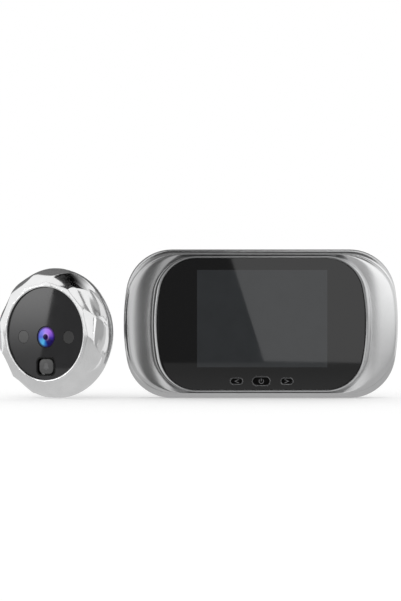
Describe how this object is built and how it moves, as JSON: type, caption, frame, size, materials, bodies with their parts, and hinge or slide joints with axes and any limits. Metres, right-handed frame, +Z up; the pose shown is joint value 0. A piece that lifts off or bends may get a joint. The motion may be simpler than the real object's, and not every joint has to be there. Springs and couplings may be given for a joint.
{
  "type": "peephole door camera",
  "caption": "Two-piece door viewer: an indoor display unit with keys, cells and door bracket, and an outdoor camera unit with lens, infrared lamps, bell button and hollow stem.",
  "frame": {"origin": "middle of the door bracket's back face, which lies on the door", "axes": "+Z up, -Y out of the display's front, +X to the viewer's right along the case"},
  "size_m": [0.1822, 0.0542, 0.0678],
  "materials": {
    "silver_case": "silver lacquer, satin",
    "case_cover": "silver lacquer, fine texture",
    "bright_trim": "chromed plastic",
    "front_glass": "black printed glass, clear over the display",
    "outdoor_glass": "black printed glass",
    "lamp_glass": "smoked",
    "adhesive": "black foam tape",
    "lcd_glass": "dark display glass",
    "thin_steel": "pressed sheet",
    "polyimide": "amber film",
    "board": "green solder mask",
    "connector": "cream nylon",
    "fastener": "nickel plated",
    "switch_body": "black nylon",
    "button_black": "gloss black",
    "cell": "plain sleeve, bright ends",
    "contact": "nickel plated spring strip",
    "gasket": "foam",
    "speaker_paper": "pressed pulp",
    "bracket_steel": "zinc plated sheet",
    "outdoor_metal": "polished cast alloy",
    "outdoor_back": "black moulded",
    "lens_black": "black",
    "lens_glass": "coated, violet and blue reflections",
    "sensor": "sensor window",
    "lamp_epoxy": "smoked epoxy",
    "bell_cap": "grey",
    "stem_metal": "plated",
    "nut_brass": "turned"
  },
  "bodies": {
    "bracket": {"door_bracket": "bracket_steel"},
    "monitor": {"rear_housing": "silver_case", "front_fascia": "silver_case", "trim_ring": "bright_trim", "previous_button_rim": "bright_trim", "power_button_rim": "bright_trim", "next_button_rim": "bright_trim", "front_glass": "front_glass", "glass_adhesive": "adhesive", "lcd_panel": "lcd_glass", "lcd_backlight": "thin_steel", "speaker_frame": "thin_steel", "lcd_flex": "polyimide", "main_board": "board", "button_board": "board", "cable_socket": "connector", "board_screws": "fastener", "case_screws": "fastener", "previous_switch": "switch_body", "power_switch": "switch_body", "next_switch": "switch_body", "battery_1": "cell", "battery_2": "cell", "battery_3": "cell", "plate_contact_1": "contact", "plate_contact_2": "contact", "plate_contact_3": "contact", "spring_contact_1": "contact", "spring_contact_2": "contact", "spring_contact_3": "contact", "speaker_gasket": "gasket", "speaker_cone": "speaker_paper"},
    "previous_key": {"previous_button": "button_black"},
    "power_key": {"power_button": "button_black"},
    "next_key": {"next_button": "button_black"},
    "cover": {"battery_cover": "case_cover"},
    "outdoor_unit": {"outdoor_shell": "outdoor_metal", "outdoor_window": "outdoor_glass", "window_adhesive": "adhesive", "outdoor_board": "board", "lens_barrel": "lens_black", "lens_front_element": "lens_glass", "lens_inner_element": "lens_glass", "lens_holder": "switch_body", "image_sensor": "sensor", "left_lamp_window": "lamp_glass", "right_lamp_window": "lamp_glass", "left_infrared_lamp": "lamp_epoxy", "right_infrared_lamp": "lamp_epoxy", "bell_bezel": "outdoor_back", "bell_switch": "switch_body", "outdoor_socket": "connector", "outdoor_rear_cover": "outdoor_back", "outdoor_screws": "fastener", "cable_stem": "stem_metal", "stem_nut": "nut_brass", "door_seal": "gasket"},
    "bell_key": {"bell_button": "bell_cap"}
  },
  "joints": [
    {"name": "previous_press", "type": "slide", "parent": "monitor", "child": "previous_key", "axis": [0, 1, 0], "range_m": [0, 0.0003], "stiffness_N_per_m": 200},
    {"name": "power_press", "type": "slide", "parent": "monitor", "child": "power_key", "axis": [0, 1, 0], "range_m": [0, 0.0003], "stiffness_N_per_m": 200},
    {"name": "next_press", "type": "slide", "parent": "monitor", "child": "next_key", "axis": [0, 1, 0], "range_m": [0, 0.0003], "stiffness_N_per_m": 200},
    {"name": "cover_off", "type": "slide", "parent": "monitor", "child": "cover", "axis": [0, 1, 0], "range_m": [0, 0.02]},
    {"name": "case_unhook", "type": "slide", "parent": "bracket", "child": "monitor", "axis": [0, 0, 1], "range_m": [0, 0.0043]},
    {"name": "outdoor_lift", "type": "slide", "parent": "bracket", "child": "outdoor_unit", "axis": [0, 0, 1], "range_m": [0, 0.08]},
    {"name": "bell_press", "type": "slide", "parent": "outdoor_unit", "child": "bell_key", "axis": [0.515, 0.8572, 0], "range_m": [0, 0.0003], "stiffness_N_per_m": 200}
  ]
}
